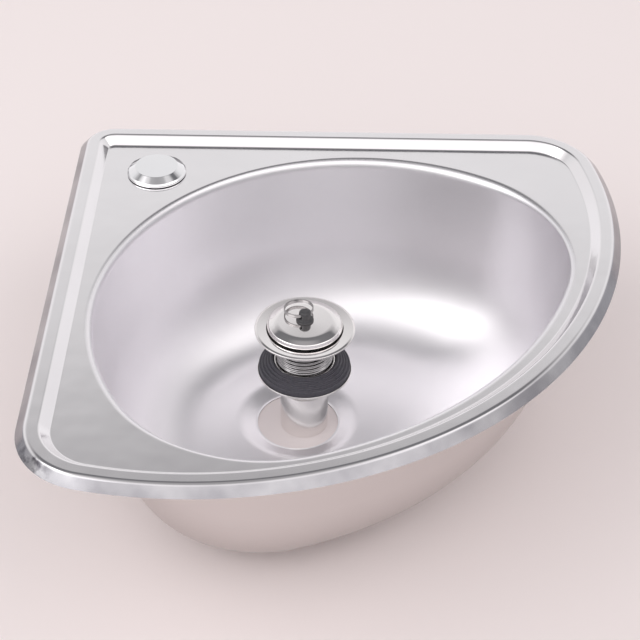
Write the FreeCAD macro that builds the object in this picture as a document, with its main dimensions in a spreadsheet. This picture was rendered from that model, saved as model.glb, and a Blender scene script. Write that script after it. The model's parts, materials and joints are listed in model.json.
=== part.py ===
# Quarter-round corner sink of pressed steel sheet, with a capped tap hole and a waste fitting that stands
# loose in the drain hole. Millimetres, +Z up, origin at the bottom centre of the sink's box.
import FreeCAD
import Part
import Sketcher
import math
import os
import re
from FreeCAD import Vector

SIZES = {
    # Rim, measured from the outer edge of the lip
    "side_length": 400.0,
    "arc_centre": 104.0,
    "rim_height": 150.0,
    "sheet": 0.8,
    "lip_drop": 6.6,
    "lip_width": 6.2,
    "lip_radius": 4.0,
    "rim_flat_width": 8.7,
    "step_width": 6.4,
    "step_drop": 6.2,
    "deck_corner_radius": 5.0,
    "deck_tip_radius": 31.7,
    # Bowl: opening on the diagonal from the right-angled corner, wall, bottom and drain
    "side_deck_width": 12.9,
    "front_deck_width": 6.5,
    "bowl_back_radius": 183.0,
    "bowl_side_radius": 106.0,
    "bowl_side_shift": -3.5,
    "bowl_edge_radius": 4.5,
    "bowl_wall_draft": 5.0,
    "bowl_bottom_radius": 75.0,
    "drain_setback": 26.2,
    "drain_hole_radius": 30.0,
    "recess_depth": 4.2,
    "recess_radius": 38.5,
    "recess_slope": 2.6,
    # Tap hole and its cap
    "tap_along": 84.2,
    "tap_side": 2.3,
    "tap_hole_radius": 17.5,
    "cap_overlap": 4.5,
    "cap_sheet": 0.8,
    "cap_rim_height": 1.2,
    "cap_shoulder": 1.2,
    "cap_bevel_width": 5.0,
    "cap_bevel_height": 3.2,
    "cap_gasket_thickness": 0.6,
    "cap_gasket_inset": 1.0,
    "stud_radius": 3.0,
    "stud_length": 31.0,
    "stud_clearance": 0.3,
    "clamp_pad_thickness": 2.0,
    "clamp_overlap": 6.5,
    "clamp_plate_thickness": 2.0,
    "wing_hub_radius": 6.5,
    "wing_hub_height": 8.0,
    "wing_reach": 17.0,
    "wing_thickness": 2.4,
    "wing_rise": 5.0,
    "wing_chamfer": 1.0,
    # Waste: tail pipe, collar and gasket
    "waste_offset": 4.6,
    "tail_pipe_radius": 17.6,
    "tail_pipe_wall": 1.0,
    "tail_pipe_length": 36.0,
    "weld_gap": 0.05,
    "throat_lap": 5.0,
    "throat_wall": 1.0,
    "throat_height": 6.0,
    "cup_depth": 11.0,
    "socket_rise": 9.5,
    "socket_wall": 1.5,
    "collar_radius": 34.2,
    "collar_sheet": 1.0,
    "gasket_clearance": 0.5,
    "gasket_edge_height": 5.2,
    "gasket_cone_height": 5.8,
    # Waste: threaded neck, flange, seal and strainer
    "thread_radius": 20.5,
    "thread_depth": 1.0,
    "thread_pitch": 3.3,
    "thread_crest": 0.66,
    "thread_clearance": 0.25,
    "thread_engagement": 3.0,
    "neck_wall": 1.2,
    "neck_plain": 2.6,
    "seal_width": 9.0,
    "seal_thickness": 3.0,
    "seal_clearance": 0.4,
    "flange_radius": 36.0,
    "flange_sheet": 1.0,
    "flange_dish": 2.0,
    "flange_edge": 1.5,
    "flange_edge_height": 2.0,
    "seat_width": 7.2,
    "strainer_thickness": 1.2,
    "strainer_rise": 1.0,
    "strainer_hole_radius": 3.6,
    "strainer_hole_pitch": 10.8,
    # Stopper and pull ring
    "plug_seat_inset": 0.7,
    "plug_rim_height": 3.0,
    "plug_clearance": 0.5,
    "plug_depth": 12.0,
    "plug_taper": 1.5,
    "dome_overhang": 2.2,
    "dome_sheet": 0.8,
    "dome_rim_height": 0.8,
    "dome_shoulder_width": 6.0,
    "dome_shoulder_height": 4.0,
    "dome_bend_width": 2.0,
    "dome_bend_height": 2.6,
    "dome_crown": 0.4,
    "knob_base_radius": 6.3,
    "knob_base_height": 2.0,
    "knob_radius": 4.3,
    "knob_height": 6.5,
    "knob_round": 1.3,
    "knob_hole_radius": 2.3,
    "knob_hole_rise": 2.6,
    "screw_radius": 2.0,
    "screw_clearance": 0.1,
    "screw_grip": 1.4,
    "screw_head_radius": 4.0,
    "screw_head_height": 2.4,
    "washer_radius": 8.0,
    "washer_thickness": 1.2,
    "ring_radius": 10.7,
    "ring_band": 3.4,
    "ring_thickness": 0.8,
    "ring_slack": 0.45,
    "ring_heading": 118.0,
    "ring_tilt": 6.0,
}

THREAD_TURNS = 8
GASKET_RIBS = 5
STRAINER_HOLES = 6
EDGE_LEVELS = 6
BOTTOM_LEVELS = 9
UP = Vector(0, 0, 1)
ROOT_TWO = math.sqrt(2)

doc = FreeCAD.newDocument("corner_sink")
sheet = doc.addObject("Spreadsheet::Sheet", "Sizes")
for row, (alias, value) in enumerate(SIZES.items(), start=1):
    sheet.set(f"A{row}", alias)
    sheet.set(f"B{row}", str(value))
    sheet.setAlias(f"B{row}", alias)
doc.recompute()
pieces = {}


def size(alias):
    """One driving dimension, read back from the sheet."""
    return float(sheet.get(alias))


def bound(text):
    """The text of an expression with every alias in it pointed at the sheet."""
    return re.sub("[a-z_]+", lambda word: f"Sizes.{word[0]}" if word[0] in SIZES else word[0], text)


def bind(thing, prop, text):
    """Drive one property of a document object from the sheet."""
    thing.setExpression(prop, bound(text))


def seat(thing, place):
    """Drive a document object's position from the sheet: place is three expressions."""
    for axis, text in zip("xyz", place):
        bind(thing, f".Placement.Base.{axis}", text)


def turned(label, points, place):
    """A turned body: a closed profile of (radius, height) expressions revolved about its own upright axis."""
    body = doc.addObject("PartDesign::Body", label)
    sketch = body.newObject("Sketcher::SketchObject", label + "_profile")
    upright = [plane for plane in body.Origin.OriginFeatures if plane.Role == "XZ_Plane"][0]
    sketch.AttachmentSupport = [(upright, "")]
    sketch.MapMode = "FlatFace"
    count = len(points)
    turn = [2 * math.pi * index / count for index in range(count)]
    first = [Vector(count * (2 + math.cos(angle)), count * (2 + math.sin(angle)), 0) for angle in turn]
    for index in range(count):
        sketch.addGeometry(Part.LineSegment(first[index], first[(index + 1) % count]))
    for index in range(count):
        sketch.addConstraint(Sketcher.Constraint("Coincident", index, 2, (index + 1) % count, 1))
    for index, (radius, height) in enumerate(points):
        if radius == "0":
            sketch.addConstraint(Sketcher.Constraint("PointOnObject", index, 1, -2))
        else:
            across = sketch.addConstraint(Sketcher.Constraint("DistanceX", -1, 1, index, 1, first[index].x))
            bind(sketch, f"Constraints[{across}]", radius)
        upward = sketch.addConstraint(Sketcher.Constraint("DistanceY", -1, 1, index, 1, first[index].y))
        bind(sketch, f"Constraints[{upward}]", height)
    revolution = body.newObject("PartDesign::Revolution", label + "_turn")
    revolution.Profile = sketch
    revolution.ReferenceAxis = (sketch, ["V_Axis"])
    revolution.Angle = 360.0
    seat(body, place)
    return body


def cylinder(label, radius, height, place):
    """A cylinder standing at place, its sizes given as expressions."""
    solid = doc.addObject("Part::Cylinder", label)
    bind(solid, "Radius", radius)
    bind(solid, "Height", height)
    seat(solid, place)
    return solid


def less(label, base, tool):
    """Base with tool cut away."""
    cut = doc.addObject("Part::Cut", label)
    cut.Base = base
    cut.Tool = tool
    return cut


def joined(label, solids):
    """Solids fused into one."""
    fuse = doc.addObject("Part::MultiFuse", label)
    fuse.Shapes = solids
    return fuse


# Where things stand, as expressions
RIM_WIDTH = "lip_width + rim_flat_width + step_width"
BOWL_BACK = f"( bowl_back_radius + side_deck_width + {RIM_WIDTH} ) * sqrt(2) - bowl_back_radius"
BOWL_FRONT = f"arc_centre * sqrt(2) + side_length - arc_centre - front_deck_width - ( {RIM_WIDTH} )"
DRAIN_ALONG = f"( {BOWL_BACK} + {BOWL_FRONT} ) / 2 - drain_setback"
DRAIN_X = f"( {DRAIN_ALONG} + bowl_side_shift ) / sqrt(2) - side_length / 2"
DRAIN_Y = f"( bowl_side_shift - ( {DRAIN_ALONG} ) ) / sqrt(2) + side_length / 2"
WASTE = (f"{DRAIN_X} + waste_offset", DRAIN_Y, "0")
TAP = ("( tap_along + tap_side ) / sqrt(2) - side_length / 2",
       "( tap_side - tap_along ) / sqrt(2) + side_length / 2", "0")
DECK = "rim_height - step_drop"
DECK_UNDER = f"{DECK} - sheet"


# The basin: one sheet, sewn from its upper and lower faces

def rim_width():
    """From the lip's outer side to the foot of the step."""
    return size("lip_width") + size("rim_flat_width") + size("step_width")


def rim_path():
    """The lip's outer edge as tangent lines and arcs, clockwise from above, each with its inward side."""
    half = size("side_length") / 2
    corner = size("deck_corner_radius") + rim_width()
    tip = size("deck_tip_radius") + rim_width()
    centre = size("arc_centre")
    arc = size("side_length") - centre
    tip_along = centre + math.sqrt((arc - tip) ** 2 - (centre - tip) ** 2)
    start = math.atan2(centre - tip, tip_along - centre)
    right = math.pi / 2
    return [
        ("line", Vector(corner - half, half, 0), Vector(tip_along - half, half, 0), Vector(0, -1, 0)),
        ("arc", Vector(tip_along - half, half - tip, 0), tip, right, start),
        ("arc", Vector(centre - half, half - centre, 0), arc, start, -right - start),
        ("arc", Vector(tip - half, half - tip_along, 0), tip, -right - start, -2 * right),
        ("line", Vector(-half, half - tip_along, 0), Vector(-half, half - corner, 0), Vector(1, 0, 0)),
        ("arc", Vector(corner - half, half - corner, 0), corner, 2 * right, right),
    ]


def polar(centre, radius, angle, height):
    """A point at an angle round a centre, at a height."""
    return centre + Vector(radius * math.cos(angle), radius * math.sin(angle), height)


def arc_edge(centre, radius, start, end, height):
    """A level arc from one angle to another."""
    middle = (start + end) / 2
    ends = [polar(centre, radius, angle, height) for angle in (start, middle, end)]
    return Part.Arc(*ends).toShape()


def rim_wire(path, inset, height):
    """The rim's outline drawn in by inset, at a height."""
    edges = []
    for kind, first, second, *rest in path:
        if kind == "line":
            shift = rest[0] * inset + UP * height
            edges.append(Part.LineSegment(first + shift, second + shift).toShape())
        else:
            edges.append(arc_edge(first, second - inset, rest[0], rest[1], height))
    return Part.Wire(edges)


def rim_band(path, section):
    """The faces that a line or arc of the rim's section, given as (inset, height), leaves along the path."""
    faces = []
    for kind, first, second, *rest in path:
        if kind == "line":
            points = [first + rest[0] * inset + UP * height for inset, height in section]
        else:
            points = [polar(first, second - inset, rest[0], height) for inset, height in section]
        curve = Part.LineSegment(*points) if len(points) == 2 else Part.Arc(*points)
        edge = curve.toShape()
        if kind == "line":
            faces.append(edge.extrude(second - first))
        else:
            faces.append(edge.revolve(first, UP, math.degrees(rest[1] - rest[0])))
    return faces


def rounding(centre, radius, slope):
    """Start, middle and end of the lip's rounding, from its slanted side up to its top."""
    angles = (math.pi / 2 + slope, math.pi / 2 + slope / 2, math.pi / 2)
    return [(centre[0] + radius * math.cos(angle), centre[1] + radius * math.sin(angle)) for angle in angles]


class Bowl:
    """The bowl: level rings of four tangent arcs, even about the corner's diagonal, drawn in with depth."""

    def __init__(self):
        half = size("side_length") / 2
        self.place = FreeCAD.Placement(Vector(-half, half, 0), FreeCAD.Rotation(UP, -45))
        self.front = size("side_length") - size("arc_centre") - rim_width() - size("front_deck_width")
        self.front_centre = size("arc_centre") * ROOT_TWO
        self.back = size("bowl_back_radius")
        self.back_centre = (self.back + size("side_deck_width") + rim_width()) * ROOT_TWO
        self.side = size("bowl_side_radius")
        near = self.back - self.side
        far = self.front - self.side
        spread = self.back_centre - self.front_centre
        self.side_along = ((far ** 2 - near ** 2) / spread + self.back_centre + self.front_centre) / 2
        self.side_off = math.sqrt(near ** 2 - (self.side_along - self.back_centre) ** 2)
        self.deck = size("rim_height") - size("step_drop")
        self.draft = math.radians(size("bowl_wall_draft"))
        self.edge = size("bowl_edge_radius")
        self.edge_inset = -self.edge / 2
        self.floor = size("recess_depth") + size("sheet")
        behind = self.back_centre - self.back
        ahead = self.front_centre + self.front
        # A straight wall would meet the floor at foot_inset, and the rounding leaves room for the recess
        wall_top = self.deck - self.edge + self.edge * math.sin(self.draft)
        wall_inset = self.edge_inset + self.edge * math.cos(self.draft)
        foot_inset = wall_inset + (wall_top - self.floor) * math.tan(self.draft)
        spread_of_bottom = math.cos(self.draft) - (1 - math.sin(self.draft)) * math.tan(self.draft)
        room = (ahead - behind) / 2 - size("recess_radius") - size("recess_slope") - size("sheet")
        self.bottom = min(size("bowl_bottom_radius"), (room - foot_inset) / spread_of_bottom)
        self.bottom_inset = foot_inset + self.bottom * spread_of_bottom
        self.lean = size("drain_setback") / self.bottom_inset
        self.drain_along = (behind + ahead) / 2 - size("drain_setback")

    def ring(self, inset, height):
        """The opening drawn in by inset and moved back towards the drain in step with it."""
        back = self.lean * inset
        side = size("bowl_side_shift")
        behind = math.atan2(self.side_off, self.side_along - self.back_centre)
        ahead = math.atan2(self.side_off, self.side_along - self.front_centre)
        turn = 2 * math.pi
        arcs = [
            (self.back_centre, 0, self.back, behind, turn - behind),
            (self.side_along, -self.side_off, self.side, turn - behind, turn - ahead),
            (self.front_centre, 0, self.front, -ahead, ahead),
            (self.side_along, self.side_off, self.side, ahead, behind),
        ]
        edges = []
        for along, off, radius, start, end in arcs:
            edges.append(arc_edge(Vector(along - back, off + side, 0), radius - inset, start, end, height))
        wire = Part.Wire(edges)
        wire.Placement = self.place
        return wire

    def edge_point(self, angle, depth):
        """Inset and height on the rounding from deck to wall; depth is how far under the upper face."""
        radius = self.edge - depth
        height = self.deck - self.edge + radius * math.cos(angle)
        return self.edge_inset + radius * math.sin(angle), height

    def bottom_point(self, angle, depth):
        """Inset and height on the rounding from wall to bottom."""
        radius = self.bottom + depth
        height = self.floor + self.bottom - radius * math.sin(angle)
        return self.bottom_inset - radius * math.cos(angle), height

    def skin(self, depth):
        """The faces of the bowl from the deck to the flat of its bottom, depth under the upper face."""
        right = math.pi / 2
        edge = [(right - self.draft) * step / (EDGE_LEVELS - 1) for step in range(EDGE_LEVELS)]
        reach = right - self.draft
        bottom = [self.draft + reach * step / (BOTTOM_LEVELS - 1) for step in range(BOTTOM_LEVELS)]
        edge_rings = [self.ring(*self.edge_point(angle, depth)) for angle in edge]
        bottom_rings = [self.ring(*self.bottom_point(angle, depth)) for angle in bottom]
        stages = [(edge_rings, False), ([edge_rings[-1], bottom_rings[0]], True), (bottom_rings, False)]
        faces = []
        for rings, ruled in stages:
            faces += Part.makeLoft(rings, False, ruled).Faces
        return faces, edge_rings[0], bottom_rings[-1]


def circle(point, radius, height):
    """A level circle as a wire."""
    return Part.Wire(Part.Circle(point + UP * height, UP, radius).toShape())


def holed(wires):
    """A flat face with the first wire as its outline and holes at the others."""
    return Part.makeFace(wires, "Part::FaceMakerBullseye")


def basin():
    """The whole pressed sheet as one solid."""
    thick = size("sheet")
    top = size("rim_height")
    lip_foot = top - size("lip_drop")
    round_lip = size("lip_radius")
    slope = math.atan2(size("lip_drop"), size("lip_width"))
    lip_edge = thick / math.sin(slope)
    flat_in = size("lip_width") + round_lip * math.tan(slope / 2)
    step_in = size("lip_width") + size("rim_flat_width")
    deck_in = rim_width()
    deck = top - size("step_drop")
    fold = thick * math.tan(math.atan2(size("step_drop"), size("step_width")) / 2)
    lip_centre = (flat_in, top - round_lip)
    path = rim_path()
    outer_round = rounding(lip_centre, round_lip, slope)
    inner_round = rounding(lip_centre, round_lip - thick, slope)
    upper = [
        [(0, lip_foot), outer_round[0]],
        outer_round,
        [(step_in, top), (deck_in, deck)],
    ]
    lower = [
        [(lip_edge, lip_foot), inner_round[0]],
        inner_round,
        [(step_in - fold, top - thick), (deck_in - fold, deck - thick)],
    ]
    level = [(0, lip_edge, lip_foot), (flat_in, step_in, top), (flat_in, step_in - fold, top - thick)]
    faces = [holed([rim_wire(path, inset, height) for inset in insets]) for *insets, height in level]
    for section in upper + lower:
        faces += rim_band(path, section)

    bowl = Bowl()
    half = size("side_length") / 2
    side = size("bowl_side_shift")
    along = bowl.drain_along
    drain = Vector((along + side) / ROOT_TWO - half, (side - along) / ROOT_TWO + half, 0)
    tap_along = size("tap_along")
    tap_side = size("tap_side")
    tap = Vector((tap_along + tap_side) / ROOT_TWO - half, (tap_side - tap_along) / ROOT_TWO + half, 0)
    tap_radius = size("tap_hole_radius")
    drain_radius = size("drain_hole_radius")
    recess = size("recess_radius")
    brim = recess + size("recess_slope")
    for depth, inset in ((0, deck_in), (thick, deck_in - fold)):
        skin, mouth, floor = bowl.skin(depth)
        faces += skin
        tap_edge = circle(tap, tap_radius, deck - depth)
        faces.append(holed([rim_wire(path, inset, deck - depth), mouth, tap_edge]))
        rings = [(brim, bowl.floor - depth), (recess, thick - depth), (drain_radius, thick - depth)]
        wires = [circle(drain, radius, height) for radius, height in rings]
        faces.append(holed([floor, wires[0]]))
        slope = Part.LineSegment(*[drain + Vector(radius, 0, height) for radius, height in rings[:2]])
        faces.append(slope.toShape().revolve(drain, UP, 360))
        faces.append(holed(wires[1:]))
    for centre, radius, height in ((tap, tap_radius, deck), (drain, drain_radius, thick)):
        wall = Part.LineSegment(polar(centre, radius, 0, height), polar(centre, radius, 0, height - thick))
        faces.append(wall.toShape().revolve(centre, UP, 360))

    shell = Part.makeCompound([face for shape in faces for face in shape.Faces])
    shell.sewShape()
    solid = Part.Solid(shell.Shells[0])
    if solid.Volume < 0:
        solid.reverse()
    return solid


basin_shell = doc.addObject("Part::Feature", "basin_shell")
basin_shell.Shape = basin()
pieces["basin_shell"] = basin_shell

# Tap hole cap, its stud and the clamp under the deck
CAP_FOOT = f"{DECK} + cap_gasket_thickness"
CAP_RADIUS = "tap_hole_radius + cap_overlap"
CAP_EDGE = f"{CAP_FOOT} + cap_rim_height"
CAP_BEVEL = f"{CAP_EDGE} + cap_shoulder"
CAP_TOP = f"{CAP_BEVEL} + cap_bevel_height"
pieces["tap_gasket"] = turned("tap_gasket", [
    ("tap_hole_radius", DECK),
    (f"{CAP_RADIUS} - cap_gasket_inset", DECK),
    (f"{CAP_RADIUS} - cap_gasket_inset", CAP_FOOT),
    ("tap_hole_radius", CAP_FOOT),
], TAP)
pieces["tap_cap"] = turned("tap_cap", [
    (CAP_RADIUS, CAP_FOOT),
    (CAP_RADIUS, CAP_EDGE),
    (f"{CAP_RADIUS} - cap_shoulder", CAP_BEVEL),
    (f"{CAP_RADIUS} - cap_shoulder - cap_bevel_width", CAP_TOP),
    ("0", CAP_TOP),
    ("0", f"{CAP_TOP} - cap_sheet"),
    (f"{CAP_RADIUS} - cap_shoulder - cap_bevel_width - cap_sheet", f"{CAP_TOP} - cap_sheet"),
    (f"{CAP_RADIUS} - cap_shoulder - 2 * cap_sheet", f"{CAP_BEVEL} - cap_sheet"),
    ("tap_hole_radius", CAP_FOOT),
], TAP)
STUD_TOP = f"{CAP_TOP} - cap_sheet"
pieces["tap_stud"] = cylinder("tap_stud", "stud_radius", "stud_length",
                              (TAP[0], TAP[1], f"{STUD_TOP} - stud_length"))
PAD_FOOT = f"{DECK_UNDER} - clamp_pad_thickness"
PLATE_FOOT = f"{PAD_FOOT} - clamp_plate_thickness"
pieces["tap_clamp_pad"] = turned("tap_clamp_pad", [
    ("tap_hole_radius", PAD_FOOT),
    ("tap_hole_radius + clamp_overlap", PAD_FOOT),
    ("tap_hole_radius + clamp_overlap", DECK_UNDER),
    ("tap_hole_radius", DECK_UNDER),
], TAP)
pieces["tap_clamp_plate"] = turned("tap_clamp_plate", [
    ("stud_radius + stud_clearance", PLATE_FOOT),
    ("tap_hole_radius + clamp_overlap", PLATE_FOOT),
    ("tap_hole_radius + clamp_overlap", PAD_FOOT),
    ("stud_radius + stud_clearance", PAD_FOOT),
], TAP)
wing_hub = turned("wing_hub", [
    ("stud_radius + stud_clearance", f"{PLATE_FOOT} - wing_hub_height"),
    ("wing_hub_radius - wing_chamfer", f"{PLATE_FOOT} - wing_hub_height"),
    ("wing_hub_radius", f"{PLATE_FOOT} - wing_hub_height + wing_chamfer"),
    ("wing_hub_radius", PLATE_FOOT),
    ("stud_radius + stud_clearance", PLATE_FOOT),
], TAP)
wings = []
for side in ("+", "-"):
    wing = doc.addObject("Part::Box", "wing_right" if side == "+" else "wing_left")
    bind(wing, "Length", "wing_reach - wing_hub_radius + wing_chamfer")
    bind(wing, "Width", "wing_thickness")
    bind(wing, "Height", "wing_hub_height + wing_rise - wing_chamfer")
    near = "+ wing_hub_radius - wing_chamfer" if side == "+" else "- wing_reach"
    seat(wing, (f"{TAP[0]} {near}", f"{TAP[1]} - wing_thickness / 2",
                f"{PLATE_FOOT} - wing_hub_height - wing_rise"))
    wings.append(wing)
pieces["tap_wing_nut"] = joined("tap_wing_nut", [wing_hub] + wings)

# Waste: what stands on the table, from the tail pipe up to the gasket
PIPE_TOP = "tail_pipe_length"
CUP_FLOOR = f"{PIPE_TOP} + throat_height"
COLLAR_TOP = f"{CUP_FLOOR} + cup_depth"
SOCKET_TOP = f"{COLLAR_TOP} + socket_rise"
PIPE_BORE = "tail_pipe_radius - tail_pipe_wall"
THROAT = f"{PIPE_BORE} - weld_gap"
SOCKET = "thread_radius + thread_clearance"
SOCKET_OUT = f"{SOCKET} + socket_wall"
pieces["tail_pipe"] = turned("tail_pipe", [
    (PIPE_BORE, "0"),
    ("tail_pipe_radius", "0"),
    ("tail_pipe_radius", PIPE_TOP),
    (PIPE_BORE, PIPE_TOP),
], WASTE)
pieces["tail_collar"] = turned("tail_collar", [
    (f"{THROAT} - throat_wall", f"{PIPE_TOP} - throat_lap"),
    (THROAT, f"{PIPE_TOP} - throat_lap"),
    (THROAT, PIPE_TOP),
    ("tail_pipe_radius", PIPE_TOP),
    (SOCKET_OUT, CUP_FLOOR),
    (SOCKET_OUT, f"{COLLAR_TOP} - collar_sheet"),
    ("collar_radius", f"{COLLAR_TOP} - collar_sheet"),
    ("collar_radius", COLLAR_TOP),
    (SOCKET_OUT, COLLAR_TOP),
    (SOCKET_OUT, SOCKET_TOP),
    (SOCKET, SOCKET_TOP),
    (SOCKET, CUP_FLOOR),
    (f"{THROAT} - throat_wall", PIPE_TOP),
], WASTE)
GASKET_BORE = f"{SOCKET_OUT} + gasket_clearance"
gasket_steps = []
for rib in range(GASKET_RIBS):
    for edge in (rib, rib + 1):
        gasket_steps.append((
            f"collar_radius - {edge} / {GASKET_RIBS} * ( collar_radius - ( {GASKET_BORE} ) )",
            f"{COLLAR_TOP} + gasket_edge_height + {rib} / {GASKET_RIBS - 1} * gasket_cone_height",
        ))
pieces["clamp_gasket"] = turned("clamp_gasket", [
    (GASKET_BORE, COLLAR_TOP),
    ("collar_radius", COLLAR_TOP),
    *gasket_steps,
], WASTE)

# Waste: what screws into the socket
NECK_FOOT = f"{SOCKET_TOP} - thread_engagement"
FLANGE_UNDER = f"{NECK_FOOT} + {THREAD_TURNS} * thread_pitch + neck_plain"
THREAD_ROOT = "thread_radius - thread_depth"
NECK_BORE = f"{THREAD_ROOT} - neck_wall"
thread = []
for turn in range(THREAD_TURNS):
    root = f"{NECK_FOOT} + {turn} * thread_pitch"
    thread.append((THREAD_ROOT, root))
    thread.append(("thread_radius", f"{root} + ( thread_pitch - thread_crest ) / 2"))
    thread.append(("thread_radius", f"{root} + ( thread_pitch + thread_crest ) / 2"))
pieces["waste_neck"] = turned("waste_neck", [
    (NECK_BORE, NECK_FOOT),
    *thread,
    (THREAD_ROOT, f"{FLANGE_UNDER} - neck_plain"),
    (THREAD_ROOT, FLANGE_UNDER),
    (NECK_BORE, FLANGE_UNDER),
], WASTE)
SEAT_TOP = f"{FLANGE_UNDER} + flange_sheet"
SEAT_OUT = f"{NECK_BORE} + seat_width"
FLANGE_TOP = f"{SEAT_TOP} + flange_dish"
pieces["waste_flange"] = turned("waste_flange", [
    (NECK_BORE, FLANGE_UNDER),
    (SEAT_OUT, FLANGE_UNDER),
    ("flange_radius - flange_edge", f"{FLANGE_TOP} - flange_edge_height"),
    ("flange_radius", f"{FLANGE_TOP} - flange_edge_height"),
    ("flange_radius", f"{FLANGE_TOP} - flange_sheet / 2"),
    ("flange_radius - flange_edge", FLANGE_TOP),
    (SEAT_OUT, SEAT_TOP),
    (NECK_BORE, SEAT_TOP),
], WASTE)
SEAL_IN = "thread_radius + seal_clearance"
pieces["flange_seal"] = turned("flange_seal", [
    (SEAL_IN, f"{FLANGE_UNDER} - seal_thickness"),
    (f"{SEAL_IN} + seal_width", f"{FLANGE_UNDER} - seal_thickness"),
    (f"{SEAL_IN} + seal_width", FLANGE_UNDER),
    (SEAL_IN, FLANGE_UNDER),
], WASTE)
STRAINER_FOOT = f"{NECK_FOOT} + strainer_rise"
strainer_blank = cylinder("strainer_blank", f"{NECK_BORE} - weld_gap", "strainer_thickness",
                          (WASTE[0], WASTE[1], STRAINER_FOOT))
strainer_holes = [cylinder("strainer_middle", "strainer_hole_radius", "strainer_thickness",
                           (WASTE[0], WASTE[1], STRAINER_FOOT))]
for index in range(STRAINER_HOLES):
    angle = 360 / STRAINER_HOLES * index
    strainer_holes.append(cylinder(
        f"strainer_hole_{index}", "strainer_hole_radius", "strainer_thickness",
        (f"{WASTE[0]} + strainer_hole_pitch * cos({angle})",
         f"{WASTE[1]} + strainer_hole_pitch * sin({angle})", STRAINER_FOOT)))
pieces["strainer_plate"] = less("strainer_plate", strainer_blank, joined("strainer_holes", strainer_holes))

# Stopper: rubber plug under a steel dome, held to its knob by a screw
PLUG_OUT = f"{SEAT_OUT} - plug_seat_inset"
PLUG_TOP = f"{SEAT_TOP} + plug_rim_height"
PLUG_FOOT = f"{SEAT_TOP} - plug_depth"
SHAFT = "screw_radius + screw_clearance"
DOME_OUT = f"{PLUG_OUT} + dome_overhang"
DOME_EDGE = f"{PLUG_TOP} + dome_rim_height"
DOME_SHOULDER = f"{DOME_EDGE} + dome_shoulder_height"
DOME_TOP = f"{DOME_SHOULDER} + dome_crown"
DOME_BEND = f"{DOME_OUT} - dome_bend_width"
DOME_FLAT = f"{DOME_OUT} - dome_shoulder_width"
BEND_HEIGHT = f"{DOME_EDGE} + dome_bend_height"
pieces["stopper_plug"] = turned("stopper_plug", [
    (SHAFT, PLUG_FOOT),
    (f"{NECK_BORE} - plug_clearance - plug_taper", PLUG_FOOT),
    (f"{NECK_BORE} - plug_clearance", SEAT_TOP),
    (PLUG_OUT, SEAT_TOP),
    (PLUG_OUT, PLUG_TOP),
    (f"{DOME_OUT} - dome_sheet", PLUG_TOP),
    (f"{DOME_OUT} - dome_sheet", f"{DOME_EDGE} - dome_sheet / 2"),
    (f"{DOME_BEND} - dome_sheet", f"{BEND_HEIGHT} - dome_sheet"),
    (DOME_FLAT, f"{DOME_SHOULDER} - dome_sheet"),
    (SHAFT, f"{DOME_TOP} - dome_sheet"),
], WASTE)
pieces["stopper_cap"] = turned("stopper_cap", [
    (SHAFT, f"{DOME_TOP} - dome_sheet"),
    (DOME_FLAT, f"{DOME_SHOULDER} - dome_sheet"),
    (f"{DOME_BEND} - dome_sheet", f"{BEND_HEIGHT} - dome_sheet"),
    (f"{DOME_OUT} - dome_sheet", f"{DOME_EDGE} - dome_sheet / 2"),
    (f"{DOME_OUT} - dome_sheet", PLUG_TOP),
    (DOME_OUT, PLUG_TOP),
    (DOME_OUT, DOME_EDGE),
    (DOME_BEND, BEND_HEIGHT),
    (DOME_FLAT, DOME_SHOULDER),
    (SHAFT, DOME_TOP),
], WASTE)
KNOB_WAIST = f"{DOME_TOP} + knob_base_height"
KNOB_TOP = f"{KNOB_WAIST} + knob_height"
SCREW_TOP = f"{DOME_TOP} + screw_grip"
knob_blank = turned("knob_blank", [
    (SHAFT, DOME_TOP),
    ("knob_base_radius", DOME_TOP),
    ("knob_base_radius", f"{DOME_TOP} + knob_base_height / 2"),
    ("knob_radius", KNOB_WAIST),
    ("knob_radius", f"{KNOB_TOP} - knob_round"),
    ("knob_radius - knob_round", KNOB_TOP),
    ("0", KNOB_TOP),
    ("0", SCREW_TOP),
    (SHAFT, SCREW_TOP),
], WASTE)
KNOB_HOLE = f"{KNOB_WAIST} + knob_hole_rise"
heading = math.radians(size("ring_heading"))
hinge = Vector(math.sin(heading), -math.cos(heading), 0)
knob_hole = cylinder("knob_hole", "knob_hole_radius", "2 * knob_radius + 2 * knob_round", (
    f"{WASTE[0]} - ( knob_radius + knob_round ) * sin(ring_heading)",
    f"{WASTE[1]} + ( knob_radius + knob_round ) * cos(ring_heading)", KNOB_HOLE))
knob_hole.Placement.Rotation = FreeCAD.Rotation(UP, hinge)
pieces["stopper_knob"] = less("stopper_knob", knob_blank, knob_hole)
pieces["stopper_washer"] = turned("stopper_washer", [
    (SHAFT, f"{PLUG_FOOT} - washer_thickness"),
    ("washer_radius", f"{PLUG_FOOT} - washer_thickness"),
    ("washer_radius", PLUG_FOOT),
    (SHAFT, PLUG_FOOT),
], WASTE)
SCREW_SEAT = f"{PLUG_FOOT} - washer_thickness"
pieces["stopper_screw"] = turned("stopper_screw", [
    ("0", f"{SCREW_SEAT} - screw_head_height"),
    ("screw_head_radius", f"{SCREW_SEAT} - screw_head_height"),
    ("screw_head_radius", SCREW_SEAT),
    ("screw_radius", SCREW_SEAT),
    ("screw_radius", SCREW_TOP),
    ("0", SCREW_TOP),
], WASTE)

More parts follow.
